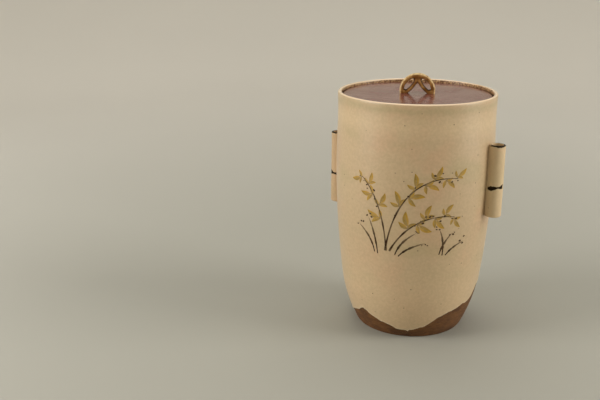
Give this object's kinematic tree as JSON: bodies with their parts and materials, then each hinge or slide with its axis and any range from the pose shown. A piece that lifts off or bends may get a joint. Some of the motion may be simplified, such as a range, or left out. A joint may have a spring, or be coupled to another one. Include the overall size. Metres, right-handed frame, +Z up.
{
  "type": "lidded water jar",
  "caption": "Tall barrel-shaped stoneware water jar for tea, with a cream glaze over a bare brown foot, tube lugs on the sides and a drop-in brown lid with a looped coil knob.",
  "frame": {"origin": "middle of the foot, on the surface the jar stands on", "axes": "+Z up along the jar's axis, +X through the right lug, -Y to the front"},
  "size_m": [0.1631, 0.1386, 0.2266],
  "materials": {
    "clay": "bare fired brown stoneware",
    "cream_glaze": "satin gloss cream glaze",
    "lining_glaze": "thin cream glaze",
    "lug_glaze": "cream glaze with dark brushed bands",
    "lid_clay": "bare fired brown stoneware",
    "lid_brown_glaze": "high gloss purple-brown glaze",
    "knob_amber_glaze": "gloss amber-brown glaze"
  },
  "bodies": {
    "jar": {"jar_body": "clay", "outer_glaze": "cream_glaze", "inner_glaze": "lining_glaze", "left_lug": "lug_glaze", "right_lug": "lug_glaze"},
    "lid": {"lid_disc": "lid_clay", "lid_glaze": "lid_brown_glaze", "knob_left_loop": "knob_amber_glaze", "knob_right_loop": "knob_amber_glaze"}
  },
  "joints": [
    {"name": "lid_lift", "type": "slide", "parent": "jar", "child": "lid", "axis": [0, 0, 1], "range_m": [0, 0.12]}
  ]
}
